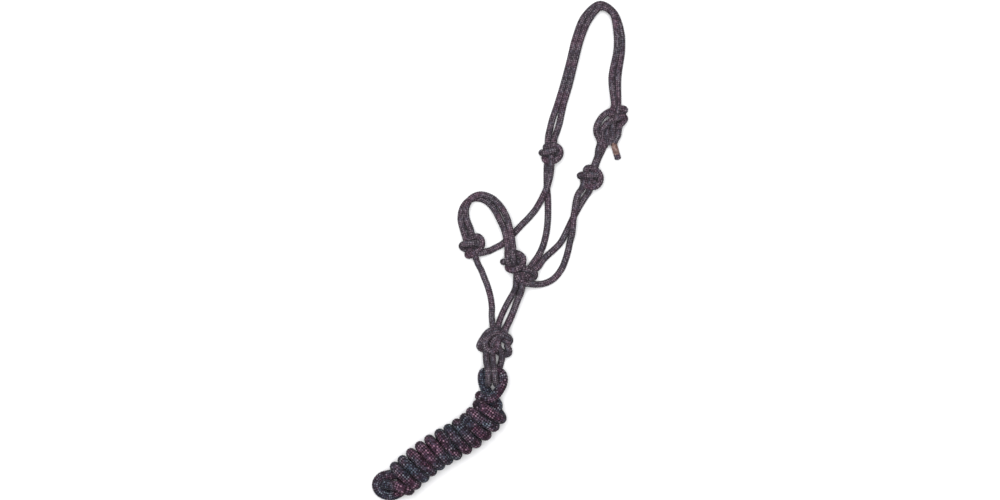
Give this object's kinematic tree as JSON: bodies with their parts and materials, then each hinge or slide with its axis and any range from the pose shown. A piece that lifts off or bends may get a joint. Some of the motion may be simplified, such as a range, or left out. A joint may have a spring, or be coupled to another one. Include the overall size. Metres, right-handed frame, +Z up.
{
  "type": "rope halter with lead rope",
  "caption": "Rope halter laid flat: knotted crown, cheek, nose and throat strands, a fiador knot with two loops, and a lead rope wound into a hank.",
  "frame": {"origin": "on the table, under the middle of the halter's box without the lead rope", "axes": "+Z up from the table, +Y towards the crown, +X towards the near side with the tie"},
  "size_m": [0.3651, 0.7262, 0.043],
  "materials": {
    "halter_rope": "tightly braided polyester rope, charcoal with grey and burgundy flecks, slight sheen",
    "lead_rope": "softer braided rope, near black with grey, burgundy and slate flecks",
    "whipping": "tan twine wound tightly round the rope"
  },
  "bodies": {
    "cheeks": {"far_cheek_knot": "halter_rope", "near_cheek_knot": "halter_rope", "halter_tie_knot": "halter_rope", "far_nose_knot": "halter_rope", "near_nose_knot": "halter_rope", "throat_knot": "halter_rope", "far_cheek_strand": "halter_rope", "far_throat_strand": "halter_rope", "near_throat_strand": "halter_rope", "near_cheek_strand": "halter_rope", "tie_loop_lower_strand": "halter_rope", "tie_loop_upper_strand": "halter_rope"},
    "crown": {"crown_outer_strand": "halter_rope", "crown_inner_strand": "halter_rope"},
    "noseband": {"noseband_outer_strand": "halter_rope", "noseband_inner_strand": "halter_rope"},
    "tail": {"tail_whipping": "whipping", "tail_end": "halter_rope"},
    "chin": {"far_chin_strand": "halter_rope", "near_chin_strand": "halter_rope", "lower_fiador_strand": "halter_rope", "upper_fiador_strand": "halter_rope", "fiador_knot": "halter_rope"},
    "loops": {"left_lead_loop": "halter_rope", "right_lead_loop": "halter_rope"},
    "lead": {"lead_eye": "lead_rope", "lead_hank": "lead_rope", "lead_end_bight": "lead_rope"}
  },
  "joints": [
    {"name": "noseband_fold", "type": "hinge", "parent": "cheeks", "child": "noseband", "pos_m": [-0.07145, -0.09125, 0.012], "axis": [0.9307, -0.3659, 0], "range_deg": [0, 110]},
    {"name": "crown_fold", "type": "hinge", "parent": "cheeks", "child": "crown", "pos_m": [0.05655, 0.07325, 0.012], "axis": [0.9126, 0.4088, 0], "range_deg": [0, 110]},
    {"name": "tail_swing", "type": "hinge", "parent": "cheeks", "child": "tail", "pos_m": [0.10355, 0.06675, 0.008], "axis": [0, 0, 1], "range_deg": [-25, 30]},
    {"name": "chin_fold", "type": "hinge", "parent": "cheeks", "child": "chin", "pos_m": [-0.07265, -0.12035, 0.0165], "axis": [-0.8499, 0.5269, 0], "range_deg": [0, 70]},
    {"name": "loop_swing", "type": "hinge", "parent": "chin", "child": "loops", "pos_m": [-0.06995, -0.21925, 0.013], "axis": [0, 0, 1], "range_deg": [-20, 20]},
    {"name": "lead_lift", "type": "hinge", "parent": "loops", "child": "lead", "pos_m": [-0.07195, -0.26025, 0.017], "axis": [-1, 0, 0], "range_deg": [0, 90]}
  ]
}
